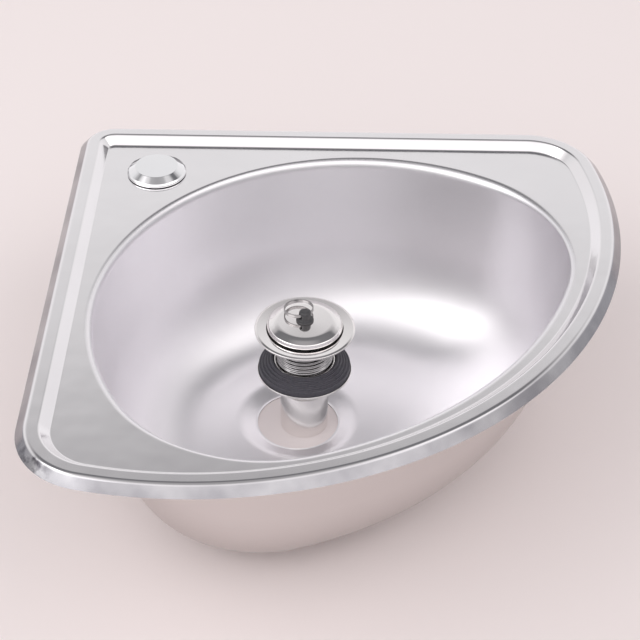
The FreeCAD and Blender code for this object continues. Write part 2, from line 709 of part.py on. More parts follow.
# Pull ring: a flat band lying tilted over the dome, through the knob's cross hole
RING_REACH = "( ring_radius - ring_thickness / 2 - ring_slack )"
pull_ring = turned("pull_ring", [
    ("ring_radius - ring_thickness", "- ring_band / 2"),
    ("ring_radius", "- ring_band / 2"),
    ("ring_radius", "ring_band / 2"),
    ("ring_radius - ring_thickness", "ring_band / 2"),
], (
    f"{WASTE[0]} + {RING_REACH} * cos(ring_heading) * cos(ring_tilt)",
    f"{WASTE[1]} + {RING_REACH} * sin(ring_heading) * cos(ring_tilt)",
    f"{KNOB_HOLE} - {RING_REACH} * sin(ring_tilt)",
))
pull_ring.Placement.Rotation = FreeCAD.Rotation(hinge, -size("ring_tilt"))
pieces["pull_ring"] = pull_ring

doc.recompute()
for thing in doc.Objects:
    if "Invalid" in thing.State or "Error" in thing.State:
        raise RuntimeError(f"{thing.Label} did not compute")
for node, thing in pieces.items():
    thing.Label = node
    if thing.Shape.isNull() or not thing.Shape.isValid():
        raise RuntimeError(f"{node} has no valid shape")
os.makedirs("parts", exist_ok=True)
for node, thing in pieces.items():
    thing.Shape.exportStep(f"parts/{node}.step")
    box = thing.Shape.BoundBox
    print(f"{node}: {len(thing.Shape.Solids)} solid, {thing.Shape.Volume:.1f} mm3,",
          f"z {box.ZMin:.2f} to {box.ZMax:.2f}")
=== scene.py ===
# Looks of a quarter-round corner sink: a pressed steel basin, a capped tap hole and a waste with its stopper.
# Metres, in the part's own frame: +Z up, origin at the bottom centre of the sink's box.
import json
import math

import bmesh
import bpy
import numpy as np
from mathutils import Matrix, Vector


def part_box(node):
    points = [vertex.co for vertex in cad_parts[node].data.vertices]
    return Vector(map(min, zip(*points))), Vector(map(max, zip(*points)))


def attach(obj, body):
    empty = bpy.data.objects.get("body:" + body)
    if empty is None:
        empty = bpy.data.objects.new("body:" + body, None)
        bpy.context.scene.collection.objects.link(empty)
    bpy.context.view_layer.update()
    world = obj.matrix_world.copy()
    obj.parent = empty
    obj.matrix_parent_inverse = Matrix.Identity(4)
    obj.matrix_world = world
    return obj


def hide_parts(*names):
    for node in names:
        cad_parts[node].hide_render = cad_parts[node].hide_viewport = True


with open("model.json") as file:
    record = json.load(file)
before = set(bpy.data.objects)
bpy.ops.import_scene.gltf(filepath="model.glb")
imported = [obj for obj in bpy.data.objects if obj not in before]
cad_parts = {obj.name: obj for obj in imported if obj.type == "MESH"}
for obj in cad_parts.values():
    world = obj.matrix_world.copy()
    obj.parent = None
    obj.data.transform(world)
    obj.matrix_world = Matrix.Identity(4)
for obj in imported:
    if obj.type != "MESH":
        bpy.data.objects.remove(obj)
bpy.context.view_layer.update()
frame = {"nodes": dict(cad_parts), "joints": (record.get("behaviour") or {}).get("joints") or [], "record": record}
scene = bpy.context.scene
joints = {joint["name"]: joint for joint in frame["joints"]}
SLOTS = {row["node"]: row["material_slot"] for row in frame["record"]["subparts"]}
BODIES = {node: body for body, nodes in frame["record"]["behaviour"]["bodies"].items() for node in nodes}

# Basin, as pressed
SHEET = 0.0008
LIP_DROP = 0.0066
LIP_WIDTH = 0.0062
LIP_RADIUS = 0.004
RIM_FLAT_WIDTH = 0.0087
STEP_WIDTH = 0.0064
STEP_DROP = 0.0062
STEP_FOLD = 0.0024
STEP_FOOT = 0.0013
DECK_CORNER_RADIUS = 0.005
DECK_TIP_RADIUS = 0.0317
ARC_CENTRE = 0.104
SIDE_DECK_WIDTH = 0.0129
FRONT_DECK_WIDTH = 0.0065
BOWL_BACK_RADIUS = 0.183
BOWL_SIDE_RADIUS = 0.106
BOWL_SIDE_SHIFT = -0.0035
BOWL_MOUTH = 0.00187
BOWL_BACK_EDGE = 0.0075
BOWL_FRONT_EDGE = 0.0036
EDGE_BLEND = (math.radians(60), math.radians(115))
BOWL_DRAFT = math.radians(5)
BOWL_BOTTOM_RADIUS = 0.075
DRAIN_SETBACK = 0.0262
DRAIN_RADIUS = 0.030
RECESS_DEPTH = 0.0042
RECESS_RADIUS = 0.0315
RECESS_SLOPE = 0.0115
RECESS_MARGIN = 0.0042
RECESS_FOLD = 0.005
RECESS_SHOULDER = 0.020
TAP_HOLE_RADIUS = 0.0175
RIM_WIDTH = LIP_WIDTH + RIM_FLAT_WIDTH + STEP_WIDTH

# Polish, marks and painted shade on the basin
POLISH_ROWS = 12
LIP_FADE = 5
MARK_BEARING = math.radians(40)
MARK_SPREAD = 0.035
MARK_RANGE = (-0.6, 1.6)
MARK_TONE = (0.13, 0.125, 0.14)
BOWL_TONES = ((0.835, 0.82, 0.842), (0.875, 0.86, 0.882))
DECK_TONES = ((0.80, 0.785, 0.795), (0.84, 0.825, 0.835))
# Painted shade: the lip's base tones are dark to stand in for the dark reflections of its facet.
LIP_SHADE_TONES = ((0.27, 0.265, 0.285), (0.475, 0.47, 0.485))
# The outside's own duller tone above, and painted shade at its foot, darkest at the floor.
OUTSIDE_AND_FOOT_SHADE_TONES = ((0.69, 0.65, 0.64), (0.47, 0.437, 0.428))
FOOT_SHADE_FROM = 0.085
SATIN_ROUGHNESS = (0.35, 0.41)
BRIGHT_ROUGHNESS = (0.10, 0.15)
WAVE_DEPTH = 0.00012
NOISE_MIDDLE = (0.3, 0.7)

# How finely surfaces are cut
BASIN_COLUMNS = 420
TURNED_COLUMNS = 160
LEAST_COLUMNS = 4
ARC_STEPS = 6
TURN_WEIGHT = 0.12
DECK_ROWS = 12
DECK_MARGIN = 0.001
TAP_SURROUND = 0.030
BEARINGS = 7201
THREAD_ROWS = 14
BLOCK_COLUMNS = 48
BLOCK_ROWS = 25
SUPPORT = 0.0004
MERGE = 1e-7
NOTHING = 1e-9
SHARP_EDGE = math.radians(40)

# Roundings of edges, from a hairline to a rolled bend
HAIRLINE = 0.0001
BROKEN = 0.0002
DULLED = 0.0003
EASED = 0.0004
SOFT = 0.0005
FULL = 0.0006
BENT = 0.0008
ROLLED = 0.0012

# Camera of the picture
CAMERA_PLACE = (-0.016766, -0.851623, 0.801091)
CAMERA_YAW = 0.0020468
CAMERA_PITCH = 0.6758098
CAMERA_ROLL = 0.0162840
CAMERA_LENS = 88.951
SENSOR_WIDTH = 36.0

# Floor, surroundings and lamp. Tones go by the z of the direction looked in, 0 level and 1 straight up.
# The wall gives way to the diffusers over a range of its y, and the sides are dark by its x and low z.
FLOOR_REACH = 12.0
FLOOR_TONE = (0.93, 0.85, 0.84)
FLOOR_ROUGHNESS = 0.7
STUDIO_LEVEL = 2.0
WALL_TONES = [
    (0.0, (0.52, 0.51, 0.52)), (0.40, (0.48, 0.47, 0.475)), (0.54, (0.455, 0.45, 0.455)),
    (0.62, (0.39, 0.385, 0.39)), (0.70, (0.25, 0.245, 0.25)), (0.76, (0.09, 0.09, 0.095)),
    (0.90, (0.10, 0.10, 0.105)), (1.0, (0.20, 0.195, 0.20)),
]
DIFFUSER_TONES = [
    (0.0, (0.08, 0.08, 0.08)), (0.20, (0.19, 0.185, 0.19)), (0.42, (0.52, 0.505, 0.505)),
    (0.60, (0.78, 0.76, 0.76)), (0.74, (0.84, 0.82, 0.82)), (0.86, (0.66, 0.645, 0.65)),
    (0.93, (0.42, 0.41, 0.415)), (0.97, (0.24, 0.235, 0.24)), (1.0, (0.20, 0.195, 0.20)),
]
WALL_TO_DIFFUSERS = (0.24, -0.04)
SIDE_TONE = (0.08, 0.08, 0.10)
SIDE_SHADE = 0.52
SIDE_START = (0.55, 0.90)
SIDE_HEIGHT = (0.10, 0.36)
SOFTBOX_PLACE = (-1.2, -0.64, 1.1)
SOFTBOX_TARGET = (0, 0, 0.1)
SOFTBOX_SIZE = (1.2, 1.4)
SOFTBOX_POWER = 4.2


def span(node):
    """Radius, lowest and highest point of a CAD node that is round about an upright axis."""
    low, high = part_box(node)
    return (high.x - low.x) / 2, low.z, high.z


def filleted(corners, steps=ARC_STEPS, closed=False):
    """A line through (across, up, rounding) corners.

    Where the line turns by a, an arc of radius r replaces the corner: it touches both runs at r tan(a / 2)
    from it. Each arc has a support point just outside each end, so that the flats beside it shade as flats.
    """
    corners = np.asarray(corners, float)
    line = [] if closed else [corners[:1, :2]]
    count = len(corners)
    for index in range(0 if closed else 1, count if closed else count - 1):
        here, radius = corners[index, :2], corners[index, 2]
        if radius == 0:
            line.append(here[None])
            continue
        runs = np.array([corners[index - 1, :2], corners[(index + 1) % count, :2]]) - here
        runs /= np.linalg.norm(runs, axis=1)[:, None]
        half = math.acos(np.clip(runs[0] @ runs[1], -1, 1)) / 2
        middle = runs.sum(axis=0) / np.linalg.norm(runs.sum(axis=0))
        centre = here + middle * radius / math.sin(half)
        touch = here + runs * radius / math.tan(half)
        start, end = np.arctan2(touch[:, 1] - centre[1], touch[:, 0] - centre[0])
        turn = (end - start + math.pi) % (2 * math.pi) - math.pi
        angles = start + turn * np.linspace(0, 1, steps + 1)
        arc = centre + radius * np.stack([np.cos(angles), np.sin(angles)], axis=1)
        beside = touch + runs * min(SUPPORT, radius / 3)
        line.append(np.vstack([beside[:1], arc, beside[1:]]))
    if not closed:
        line.append(corners[-1:, :2])
    return np.vstack(line)


def quads(rows, columns, wrap_rows=False):
    """Corner numbers of a rows by columns grid whose last column joins its first."""
    row = np.arange(rows if wrap_rows else rows - 1)[:, None]
    column = np.arange(columns)[None]
    after_row = (row + 1) % rows
    after_column = (column + 1) % columns
    faces = [row * columns + column, row * columns + after_column,
             after_row * columns + after_column, after_row * columns + column]
    return np.stack(faces, axis=-1).reshape(-1, 4)


def smooth_mesh(name, vertices, faces):
    """A mesh with its poles closed, smooth but for its real edges."""
    mesh = bpy.data.meshes.new(name)
    mesh.from_pydata(vertices.tolist(), [], faces.tolist())
    work = bmesh.new()
    work.from_mesh(mesh)
    bmesh.ops.remove_doubles(work, verts=work.verts, dist=MERGE)
    work.to_mesh(mesh)
    work.free()
    mesh.polygons.foreach_set("use_smooth", np.ones(len(mesh.polygons), bool))
    mesh.set_sharp_from_angle(angle=SHARP_EDGE)
    return mesh


def linked(name, data):
    """A new object at the origin, in the scene."""
    thing = bpy.data.objects.new(name, data)
    scene.collection.objects.link(thing)
    return thing


def finished_mesh(thing):
    """An object's mesh with its modifiers applied and its cut edges sharp."""
    mesh = bpy.data.meshes.new_from_object(thing.evaluated_get(bpy.context.evaluated_depsgraph_get()))
    mesh.set_sharp_from_angle(angle=SHARP_EDGE)
    return mesh


def place(name, mesh, node, finish=None):
    """An object that stands for a CAD node, rides on its body and takes its slot's finish or its own."""
    body = BODIES[node]
    slot = SLOTS[node]
    thing = linked(name, mesh)
    mesh.materials.clear()
    mesh.materials.append(finish or FINISHES[slot])
    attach(thing, body)
    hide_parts(node)


def carried_round(radius, height, angle, axis, closed):
    """Rows of (radius, height) at each angle about an upright axis: x = r cos a, y = r sin a, z = h."""
    radius = np.broadcast_to(radius, (len(radius), len(angle)))
    level = np.broadcast_to(height, radius.shape)
    points = np.stack([axis[0] + radius * np.cos(angle), axis[1] + radius * np.sin(angle), level], axis=-1)
    return points.reshape(-1, 3), quads(*radius.shape, wrap_rows=closed)


def revolved(corners, axis, columns=TURNED_COLUMNS, steps=ARC_STEPS):
    """A section of (radius, height, rounding) corners, counter-clockwise, carried round an upright axis.

    The section is closed, or runs from the axis out and back to the axis.
    """
    closed = corners[0][0] > 0
    line = filleted(corners, steps, closed)
    angle = np.linspace(0, 2 * math.pi, columns, endpoint=False)
    return carried_round(line[:, :1], line[:, 1:], angle, axis, closed)


def threaded(axis, low, high, crest, root, pitch, columns, plain=0.0, bore=0.0):
    """A screwed rod or tube whose outer radius rises and falls with the height less the pitch of each turn.

    With f the fraction of a turn at height h and angle a, f = (h - low) / pitch - a / 2 pi, the radius goes
    from root to crest as a rounded ridge, 0.5 - 0.5 cos(2 pi f). It fades out at the low end and below the
    plain length at the high end.
    """
    angle = np.linspace(0, 2 * math.pi, columns, endpoint=False)
    height = np.linspace(low, high, int(THREAD_ROWS * (high - low) / pitch))[:, None]
    wave = 0.5 - 0.5 * np.cos(2 * math.pi * ((height - low) / pitch - angle / (2 * math.pi)))
    fade = np.clip(np.minimum(height - low, high - plain - height) / pitch, 0, 1)
    radius = root + (crest - root) * wave * fade
    ends = np.full((1, columns), bore)
    radius = np.vstack([ends, radius, ends])
    height = np.vstack([[[low]], height, [[high]]])
    return carried_round(radius, height, angle, axis, bore > 0)


# Finishes

class Recipe:
    """The nodes of a finish or of the surroundings, and the few ways in which they are joined here."""

    def __init__(self, owner, last):
        owner.use_nodes = True
        self.nodes = owner.node_tree.nodes
        self.links = owner.node_tree.links
        self.last = self.nodes[last]

    def fix(self, name, value):
        """Sets an input of the last node."""
        self.last.inputs[name].default_value = value

    def feed(self, name, source):
        """Joins a source to an input of the last node."""
        self.links.new(source, self.last.inputs[name])

    def noise(self, lumps, detail=3.0, stretch=(1, 1, 1)):
        """Noise on the object's own coordinates, in lumps per metre, stretched along an axis if asked."""
        coordinates = self.nodes.new("ShaderNodeTexCoord")
        mapping = self.nodes.new("ShaderNodeMapping")
        mapping.inputs["Scale"].default_value = stretch
        texture = self.nodes.new("ShaderNodeTexNoise")
        texture.inputs["Scale"].default_value = lumps
        texture.inputs["Detail"].default_value = detail
        self.links.new(coordinates.outputs["Object"], mapping.inputs["Vector"])
        self.links.new(mapping.outputs["Vector"], texture.inputs["Vector"])
        return texture.outputs["Fac"]

    def parts(self, kind):
        """The X, Y and Z of one kind of coordinates."""
        coordinates = self.nodes.new("ShaderNodeTexCoord")
        node = self.nodes.new("ShaderNodeSeparateXYZ")
        self.links.new(coordinates.outputs[kind], node.inputs["Vector"])
        return node.outputs

    def carried(self, name):
        """A number from 0 to 1 that the mesh carries under a name."""
        node = self.nodes.new("ShaderNodeAttribute")
        node.attribute_name = name
        return node.outputs["Fac"]

    def ranged(self, source, first, last, low=0.0, high=1.0, easing="LINEAR"):
        """A number that goes from low to high as the source goes from first to last, and no further."""
        node = self.nodes.new("ShaderNodeMapRange")
        node.interpolation_type = easing
        for name, value in zip(("From Min", "From Max", "To Min", "To Max"), (first, last, low, high)):
            node.inputs[name].default_value = value
        self.links.new(source, node.inputs["Value"])
        return node.outputs["Result"]

    def spread(self, source, low=0.0, high=1.0):
        """A number that goes from low to high as noise goes over the middle of its range."""
        return self.ranged(source, *NOISE_MIDDLE, low, high)

    def reckoned(self, operation, *sources):
        """The result of an operation on one or two numbers, kept between 0 and 1."""
        node = self.nodes.new("ShaderNodeMath")
        node.operation = operation
        node.use_clamp = True
        for socket, source in zip(node.inputs, sources):
            self.links.new(source, socket)
        return node.outputs["Value"]

    def mixed(self, factor, first, second):
        """A colour between two, each a tone or another node's colour."""
        node = self.nodes.new("ShaderNodeMix")
        node.data_type = "RGBA"
        self.links.new(factor, node.inputs["Factor"])
        for name, colour in (("A", first), ("B", second)):
            if isinstance(colour, tuple):
                node.inputs[name].default_value = (*colour, 1)
            else:
                self.links.new(colour, node.inputs[name])
        return node.outputs["Result"]

    def between(self, factor, first, second):
        """A number between two numbers of other nodes."""
        node = self.nodes.new("ShaderNodeMix")
        for name, source in (("Factor", factor), ("A", first), ("B", second)):
            self.links.new(source, node.inputs[name])
        return node.outputs["Result"]

    def graded(self, source, stops):
        """A tone that eases through (place, tone) stops as the source goes from 0 to 1."""
        node = self.nodes.new("ShaderNodeValToRGB")
        ramp = node.color_ramp
        ramp.interpolation = "EASE"
        while len(ramp.elements) < len(stops):
            ramp.elements.new(0.5)
        for element, (position, tone) in zip(ramp.elements, stops):
            element.position = position
            element.color = (*tone, 1)
        self.links.new(source, node.inputs["Fac"])
        return node.outputs["Color"]

    def relief(self, source, depth):
        """A normal with relief of a depth in metres."""
        node = self.nodes.new("ShaderNodeBump")
        node.inputs["Distance"].default_value = depth
        self.links.new(source, node.inputs["Height"])
        return node.outputs["Normal"]


def new_finish(name, metallic):
    """An empty material and its recipe."""
    material = bpy.data.materials.new(name)
    recipe = Recipe(material, "Principled BSDF")
    recipe.fix("Metallic", metallic)
    return material, recipe


def metal(name, dark, light, roughness, grain, depth, stretch=(1, 1, 1)):
    """Bare metal: two close tones in soft clouds, and a fine grain that varies its gloss and relief."""
    material, recipe = new_finish(name, metallic=1.0)
    clouds = recipe.spread(recipe.noise(lumps=14.0, detail=2.0))
    fine = recipe.noise(lumps=grain, detail=4.0, stretch=stretch)
    recipe.feed("Base Color", recipe.mixed(clouds, dark, light))
    recipe.feed("Roughness", recipe.spread(fine, *roughness))
    recipe.feed("Normal", recipe.relief(fine, depth))
    return material


def rubber(name, dark, light, roughness):
    """Moulded rubber: two dark tones in a fine speckle with a matt relief."""
    material, recipe = new_finish(name, metallic=0.0)
    speckle = recipe.noise(lumps=700.0, detail=4.0)
    recipe.feed("Base Color", recipe.mixed(recipe.spread(speckle), dark, light))
    recipe.feed("Roughness", recipe.spread(speckle, *roughness))
    recipe.feed("Normal", recipe.relief(speckle, depth=0.00005))
    return material


def basin_finish():
    """Satin steel in the bowl, polished on the deck and rim, darkened along the lip by painted shade, and duller
    below.

    The outside carries painted shade that darkens it towards its foot.
    """
    material, recipe = new_finish("basin_steel", metallic=1.0)
    polish = recipe.carried("polish")
    clouds = recipe.spread(recipe.noise(lumps=9.0))
    sheet = recipe.mixed(polish, recipe.mixed(clouds, *BOWL_TONES), recipe.mixed(clouds, *DECK_TONES))
    # Painted shade: the outside darkens towards the floor, in place of the shadow under the bowl.
    foot = recipe.ranged(recipe.parts("Object")["Z"], FOOT_SHADE_FROM, 0)
    outside_shaded = recipe.mixed(recipe.carried("below"), sheet, recipe.mixed(foot, *OUTSIDE_AND_FOOT_SHADE_TONES))
    # Painted shade: the lip's rows take dark tones in clouds, in place of the dark reflections there.
    lip_shade_clouds = recipe.spread(recipe.noise(lumps=26.0))
    lip_shaded = recipe.mixed(recipe.carried("edge"), outside_shaded, recipe.mixed(lip_shade_clouds, *LIP_SHADE_TONES))
    blotches = recipe.spread(recipe.noise(lumps=170.0, detail=2.0), *MARK_RANGE)
    marks = recipe.reckoned("MULTIPLY", blotches, recipe.carried("marked"))
    recipe.feed("Base Color", recipe.mixed(marks, lip_shaded, MARK_TONE))
    fine = recipe.noise(lumps=900.0)
    satin = recipe.spread(fine, *SATIN_ROUGHNESS)
    bright = recipe.spread(fine, *BRIGHT_ROUGHNESS)
    recipe.feed("Roughness", recipe.between(polish, satin, bright))
    recipe.feed("Normal", recipe.relief(recipe.noise(lumps=45.0, detail=1.0), WAVE_DEPTH))
    return material


FINISHES = {
    "basin_steel": basin_finish(),
    "cap_chrome": metal("cap_chrome", (0.82, 0.82, 0.83), (0.86, 0.86, 0.87), roughness=(0.03, 0.07),
                        grain=300.0, depth=0.000004),
    "polished_steel": metal("polished_steel", (0.87, 0.845, 0.84), (0.91, 0.885, 0.88),
                            roughness=(0.05, 0.10), grain=800.0, depth=0.000006),
    "pipe_steel": metal("pipe_steel", (0.83, 0.81, 0.80), (0.89, 0.87, 0.86), roughness=(0.14, 0.24),
                        grain=900.0, depth=0.000008, stretch=(0.1, 0.1, 1)),
    "plain_steel": metal("plain_steel", (0.55, 0.55, 0.57), (0.66, 0.66, 0.67), roughness=(0.28, 0.42),
                         grain=600.0, depth=0.00002),
    # Painted shade: the screwed neck's steel is dark to stand in for the shade under the flange.
    "neck_shade_steel": metal("neck_shade_steel", (0.26, 0.255, 0.26), (0.36, 0.35, 0.355), roughness=(0.08, 0.14),
                        grain=900.0, depth=0.000006),
    # Painted shade: the pull ring's steel is darker than the polished steel, in place of its shadows and dark
    # reflections.
    "ring_shade_steel": metal("ring_shade_steel", (0.36, 0.35, 0.355), (0.50, 0.49, 0.49), roughness=(0.10, 0.16),
                        grain=800.0, depth=0.000006),
    "gasket_rubber": rubber("gasket_rubber", (0.070, 0.067, 0.082), (0.104, 0.100, 0.118), (0.40, 0.54)),
    "black_rubber": rubber("black_rubber", (0.014, 0.014, 0.015), (0.026, 0.026, 0.027), (0.49, 0.63)),
    "knob_plastic": rubber("knob_plastic", (0.045, 0.044, 0.048), (0.066, 0.064, 0.068), (0.34, 0.48)),
}


def round_piece(name, node, axis, corners, columns=TURNED_COLUMNS, steps=ARC_STEPS):
    """A turned piece that stands for one CAD node."""
    place(name, smooth_mesh(name, *revolved(corners, axis, columns, steps)), node)


# Basin

basin_low, basin_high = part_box("basin_shell")
HALF = (basin_high.x - basin_low.x) / 2
TOP = basin_high.z
DECK = TOP - STEP_DROP
TAP_AXIS = joints["tap_nut_turn"]["pos_m"]
WASTE_AXIS = joints["flange_turn"]["pos_m"]


def rim_outline():
    """Points of the lip's outer edge, clockwise from above, with the inward direction at each.

    Two straight sides, the right-angled corner, two tips and the long front arc, all tangent. Columns are
    shared out by length and by how far each stretch turns.
    """
    corner = DECK_CORNER_RADIUS + RIM_WIDTH
    tip = DECK_TIP_RADIUS + RIM_WIDTH
    arc = 2 * HALF - ARC_CENTRE
    along = ARC_CENTRE + math.sqrt((arc - tip) ** 2 - (ARC_CENTRE - tip) ** 2)
    start = math.atan2(ARC_CENTRE - tip, along - ARC_CENTRE)
    right = math.pi / 2
    arcs = [
        ((along, -tip), tip, right, start),
        ((ARC_CENTRE, -ARC_CENTRE), arc, start, -right - start),
        ((tip, -along), tip, -right - start, -2 * right),
        ((corner, -corner), corner, 2 * right, right),
    ]
    lines = [((corner, 0), (along, 0), (0, -1)), ((0, -along), (0, -corner), (1, 0))]
    weights = [radius * abs(end - first) + TURN_WEIGHT * abs(end - first) for _, radius, first, end in arcs]
    weights += [along - corner, along - corner]
    counts = np.rint(BASIN_COLUMNS * np.array(weights) / sum(weights))
    counts = np.maximum(counts, LEAST_COLUMNS).astype(int)
    stretches = []
    for (centre, radius, first, end), count in zip(arcs, counts):
        angle = np.linspace(first, end, count, endpoint=False)
        outward = np.stack([np.cos(angle), np.sin(angle)], axis=1)
        stretches.append((np.array(centre) + radius * outward, -outward))
    for (first, end, inward), count in zip(lines, counts[len(arcs):]):
        share = np.linspace(0, 1, count, endpoint=False)[:, None]
        points = np.array(first) + share * (np.array(end) - np.array(first))
        stretches.append((points, np.broadcast_to(np.array(inward, float), points.shape)))
    # Back side, right tip, front, near tip, left side and corner
    order = [4, 0, 1, 2, 5, 3]
    points = np.vstack([stretches[index][0] for index in order])
    inward = np.vstack([stretches[index][1] for index in order])
    return points + [-HALF, HALF], inward


class BowlForm:
    """The bowl's level outlines: four tangent arcs about the corner's diagonal, drawn in with depth.

    A point is given by the direction a of the outline's normal: centre(a) + (radius(a) - inset)(cos a,
    sin a), on axes along and across the diagonal, moved back towards the drain by lean times the inset.
    """

    def __init__(self):
        root = math.sqrt(2)
        self.front = 2 * HALF - ARC_CENTRE - RIM_WIDTH - FRONT_DECK_WIDTH
        self.front_centre = ARC_CENTRE * root
        self.back = BOWL_BACK_RADIUS
        self.back_centre = (self.back + SIDE_DECK_WIDTH + RIM_WIDTH) * root
        near = self.back - BOWL_SIDE_RADIUS
        far = self.front - BOWL_SIDE_RADIUS
        apart = self.back_centre - self.front_centre
        self.side_along = ((far ** 2 - near ** 2) / apart + self.back_centre + self.front_centre) / 2
        self.side_off = math.sqrt(near ** 2 - (self.side_along - self.back_centre) ** 2)
        self.behind = math.atan2(self.side_off, self.side_along - self.back_centre)
        self.ahead = math.atan2(self.side_off, self.side_along - self.front_centre)
        self.floor = RECESS_DEPTH + SHEET
        self.edge_run = math.tan((math.pi / 2 - BOWL_DRAFT) / 2)
        self.foot = BOWL_MOUTH + (DECK - self.floor) * math.tan(BOWL_DRAFT)
        self.flat = self.foot + BOWL_BOTTOM_RADIUS * self.edge_run
        self.lean = DRAIN_SETBACK / self.flat
        first = self.back_centre - self.back
        last = self.front_centre + self.front
        self.middle = np.array([(first + last) / 2, 0])
        self.drain = self.middle - [DRAIN_SETBACK, 0]

    def outline(self, angle, inset):
        """Points on the diagonal's axes, for directions of the normal and an inset."""
        angle = (angle + math.pi) % (2 * math.pi) - math.pi
        zones = [abs(angle) < self.ahead, abs(angle) > self.behind]
        along = np.select(zones, [self.front_centre, self.back_centre], self.side_along)
        off = np.select(zones, [0, 0], np.sign(angle) * self.side_off)
        radius = np.select(zones, [self.front, self.back], BOWL_SIDE_RADIUS) - inset
        along = along - self.lean * inset + radius * np.cos(angle)
        return np.stack([along, off + radius * np.sin(angle)], axis=-1)

    def directions(self, points):
        """The normal's direction where the line from the bowl's middle to each point crosses the opening."""
        dense = np.linspace(-math.pi, math.pi, BEARINGS)
        seen = self.outline(dense, 0.0) - self.middle
        bearing = np.unwrap(np.arctan2(seen[:, 1], seen[:, 0]))
        wanted = np.arctan2(points[:, 1], points[:, 0] - self.middle[0])
        return np.interp(wanted, bearing, dense)


def off_diagonal(points):
    """From the diagonal's axes to the sink's own."""
    along, across = points[..., 0], points[..., 1] + BOWL_SIDE_SHIFT
    return np.stack([(along + across) / math.sqrt(2) - HALF, (across - along) / math.sqrt(2) + HALF], axis=-1)


def on_diagonal(points):
    """From the sink's own axes to the diagonal's."""
    x, y = points[..., 0] + HALF, points[..., 1] - HALF
    return np.stack([(x - y) / math.sqrt(2), (x + y) / math.sqrt(2) - BOWL_SIDE_SHIFT], axis=-1)


def at_height(points, height):
    """Plan points lifted to a height."""
    return np.concatenate([points, np.full(points.shape[:-1] + (1,), height)], axis=-1)


def bowl_rows(form, angle):
    """Rows of points from the bowl's opening to its floor, for directions of the outline's normal.

    The edge has a tight rounding along the front that eases into a broad one towards the corner: with s the
    share of the way through EDGE_BLEND, the broad one's weight is s^2 (3 - 2 s).
    """
    front, back = [filleted([
        (BOWL_MOUTH - radius * form.edge_run - DECK_MARGIN / 2, DECK, 0),
        (BOWL_MOUTH, DECK, radius),
        (form.foot, form.floor, BOWL_BOTTOM_RADIUS),
        (form.flat + 2 * SUPPORT, form.floor, 0),
    ], steps=22) for radius in (BOWL_FRONT_EDGE, BOWL_BACK_EDGE)]
    turned = np.abs((angle + math.pi) % (2 * math.pi) - math.pi)
    share = np.clip((turned - EDGE_BLEND[0]) / (EDGE_BLEND[1] - EDGE_BLEND[0]), 0, 1)
    weight = (share ** 2 * (3 - 2 * share))[None, :, None]
    section = (1 - weight) * front[:, None] + weight * back[:, None]
    return [at_height(off_diagonal(form.outline(angle, line[:, 0])), line[:, 1:]) for line in section]


def recess_rows(form, floor_row):
    """Rows of circles from the bowl's floor down the dish to the drain hole, on spokes to the floor's row."""
    drain = off_diagonal(form.drain)
    spoke = floor_row[:, :2] - drain
    spoke /= np.linalg.norm(spoke, axis=1)[:, None]
    brim = RECESS_RADIUS + RECESS_SLOPE
    section = filleted([
        (brim + RECESS_MARGIN, form.floor, 0),
        (brim, form.floor, RECESS_SHOULDER),
        (RECESS_RADIUS, SHEET, RECESS_FOLD),
        (DRAIN_RADIUS, SHEET, 0),
    ], steps=7)
    return [at_height(drain + spoke * radius, height) for radius, height in section]


def tap_sector(outer, inner):
    """Neighbouring columns whose line across the deck passes within TAP_SURROUND of the tap hole's centre."""
    run = inner - outer
    length = np.linalg.norm(run, axis=1)
    to_tap = np.array(TAP_AXIS[:2]) - outer
    along = (to_tap * run).sum(axis=1) / length
    off = np.abs(to_tap[:, 0] * run[:, 1] - to_tap[:, 1] * run[:, 0]) / length
    near = (along > 0) & (along < length) & (off < TAP_SURROUND)
    first = int(np.flatnonzero(near & ~np.roll(near, 1))[0])
    return (first + np.arange(near.sum())) % len(near)


def with_tap_hole(points, outer_row):
    """Vertices and faces of a grid of rows, with the tap hole let into the deck inside its outer row.

    The cells near the hole are left out, and one band of faces joins the gap's edge to the hole's circle.
    """
    rows, columns = points.shape[:2]
    inner_row = outer_row + DECK_ROWS
    deck_rows = np.arange(outer_row, inner_row)
    sector = tap_sector(points[outer_row, :, :2], points[inner_row, :, :2])
    faces = quads(rows, columns)[:, ::-1]
    faces = faces[~np.isin(np.arange(len(faces)), deck_rows[:, None] * columns + sector[:-1])]
    loop = np.concatenate([
        outer_row * columns + sector[:-1],
        deck_rows * columns + sector[-1],
        inner_row * columns + sector[:0:-1],
        deck_rows[::-1] * columns + columns + sector[0],
    ])
    vertices = points.reshape(-1, 3)
    seen = vertices[loop, :2] - TAP_AXIS[:2]
    ring = TAP_AXIS[:2] + TAP_HOLE_RADIUS * seen / np.linalg.norm(seen, axis=1)[:, None]
    hole = len(vertices) + np.arange(len(loop))
    surround = np.stack([loop, hole, np.roll(hole, -1), np.roll(loop, -1)], axis=1)
    return np.vstack([vertices, at_height(ring, DECK)]), np.vstack([faces, surround])


def carry(mesh, name, values):
    """Gives each vertex of a mesh a number under a name, for its finish."""
    mesh.attributes.new(name, "FLOAT", "POINT").data.foreach_set("value", values.astype(np.float32))


def thickened(mesh, sheet):
    """The mesh with a sheet's thickness added below it; its new vertices carry 1 as "below"."""
    thing = linked(mesh.name, mesh)
    wall = thing.modifiers.new("sheet", "SOLIDIFY")
    wall.thickness = sheet
    wall.offset = -1
    wall.use_even_offset = True
    finished = finished_mesh(thing)
    carry(finished, "below", np.arange(len(finished.vertices)) >= len(mesh.vertices))
    bpy.data.objects.remove(thing)
    return finished


